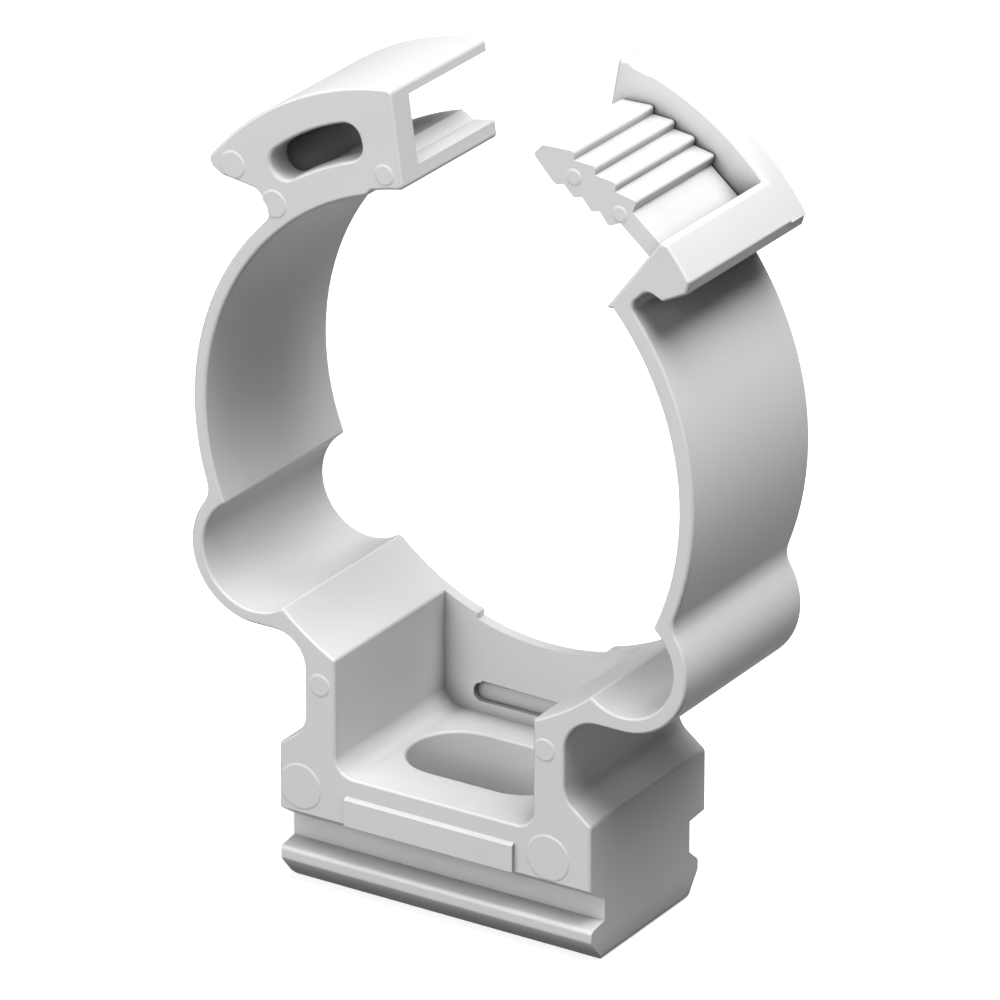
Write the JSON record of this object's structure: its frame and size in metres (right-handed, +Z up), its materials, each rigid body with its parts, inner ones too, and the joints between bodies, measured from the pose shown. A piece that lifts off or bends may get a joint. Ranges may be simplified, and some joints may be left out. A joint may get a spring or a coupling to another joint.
{
  "type": "pipe clip",
  "caption": "Moulded plastic pipe clip shown open, with spring loops, a socket head, a ratchet tongue and a slotted rail foot.",
  "frame": {"origin": "middle of the foot's underside", "axes": "+X along the foot towards the arm with the tongue, +Y along the pipe towards the cover plate, away from the open window, +Z up from the wall or rail to the pipe"},
  "size_m": [0.0481, 0.0183, 0.0726],
  "materials": {
    "pipe_clip": "light grey moulded plastic, satin"
  },
  "bodies": {
    "root": {"pipe_clip": "pipe_clip"}
  },
  "joints": []
}
